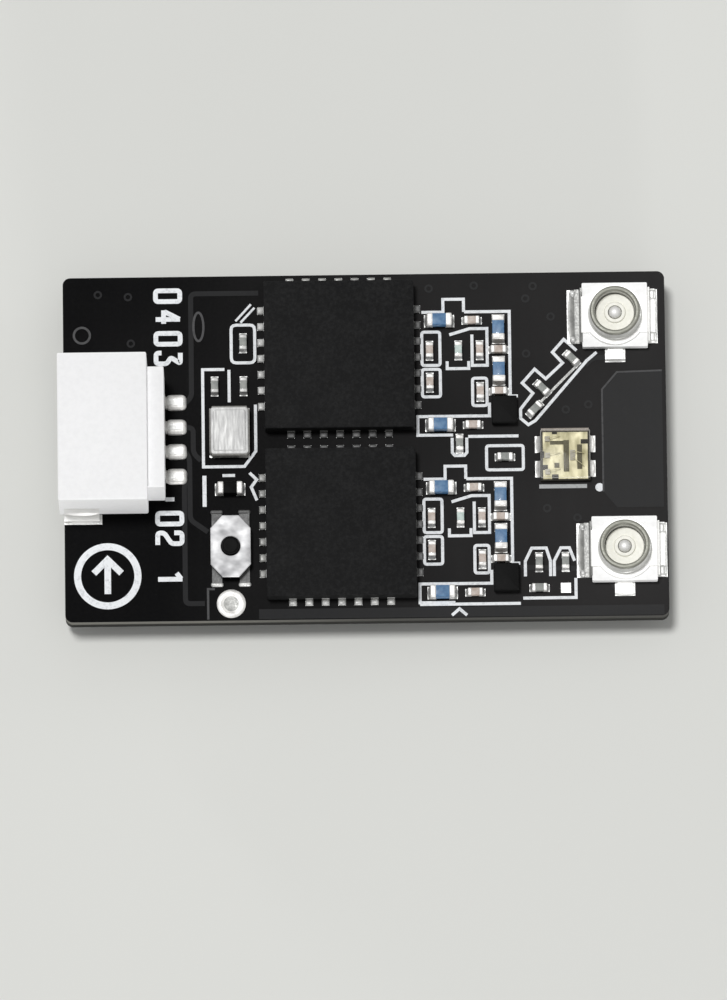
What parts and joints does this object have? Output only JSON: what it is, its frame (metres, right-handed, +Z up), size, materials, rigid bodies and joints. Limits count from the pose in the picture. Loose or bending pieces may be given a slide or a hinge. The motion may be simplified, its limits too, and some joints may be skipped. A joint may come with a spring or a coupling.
{
  "type": "radio control receiver",
  "caption": "Bare radio control receiver board with a side-entry wire socket, coaxial antenna sockets, transceiver chips, a bind button and a signal light.",
  "frame": {"origin": "centre of the controller chip's outer face under the board, the face the receiver rests on; the board is centred on it in X and Y", "axes": "+X along the board from the wire socket to the antenna sockets, +Y across it to the rear edge, +Z up out of the populated face"},
  "size_m": [0.0242, 0.014, 0.0049],
  "materials": {
    "solder_mask": "black solder mask over laminate",
    "tin": "tinned",
    "housing": "white moulded plastic",
    "insulator": "white moulded plastic",
    "plating": "pale plated sheet",
    "mould": "fine matt moulding compound",
    "black": "black moulded plastic",
    "ceramic": "fired ceramic",
    "lid": "satin plate",
    "quartz": "clear",
    "blue": "blue coated",
    "tan": "fired ceramic",
    "gold": "gold plate",
    "clear": "clear resin"
  },
  "bodies": {
    "receiver": {"circuit_board": "solder_mask", "top_lands": "tin", "underside_lands": "tin", "test_pad": "tin", "socket_housing": "housing", "socket_contacts": "tin", "socket_tabs": "tin", "rear_antenna_base": "insulator", "rear_antenna_shell": "plating", "rear_antenna_contact": "plating", "front_antenna_base": "insulator", "front_antenna_shell": "plating", "front_antenna_contact": "plating", "rear_transceiver": "mould", "rear_transceiver_leads": "tin", "front_transceiver": "mould", "front_transceiver_leads": "tin", "oscillator_base": "ceramic", "oscillator_quartz": "quartz", "oscillator_lid": "lid", "button_base": "black", "button_terminals": "tin", "button_dome": "tin", "button_cover": "lid", "light_substrate": "insulator", "light_frame": "gold", "light_dies": "mould", "light_lens": "clear", "rear_filter": "mould", "front_filter": "mould", "rear_inductors": "blue", "rear_inductor_ends": "tin", "rear_capacitors": "tan", "rear_capacitor_ends": "tin", "front_inductors": "blue", "front_inductor_ends": "tin", "front_capacitors": "tan", "front_capacitor_ends": "tin", "antenna_capacitors": "tan", "antenna_capacitor_ends": "tin", "control_capacitors": "tan", "control_capacitor_ends": "tin", "pull_up_resistor": "mould", "pull_up_resistor_ends": "tin", "controller": "mould", "controller_leads": "tin", "regulator": "mould", "regulator_leads": "tin", "crystal_base": "ceramic", "crystal_lid": "lid", "supply_capacitors": "tan", "supply_capacitor_ends": "tin"},
    "button": {"button_plunger": "black"}
  },
  "joints": [
    {"name": "button_press", "type": "slide", "parent": "receiver", "child": "button", "axis": [0, 0, -1], "range_m": [0, 0.00012], "stiffness_N_per_m": 8000, "deforming": ["button_dome"]}
  ]
}
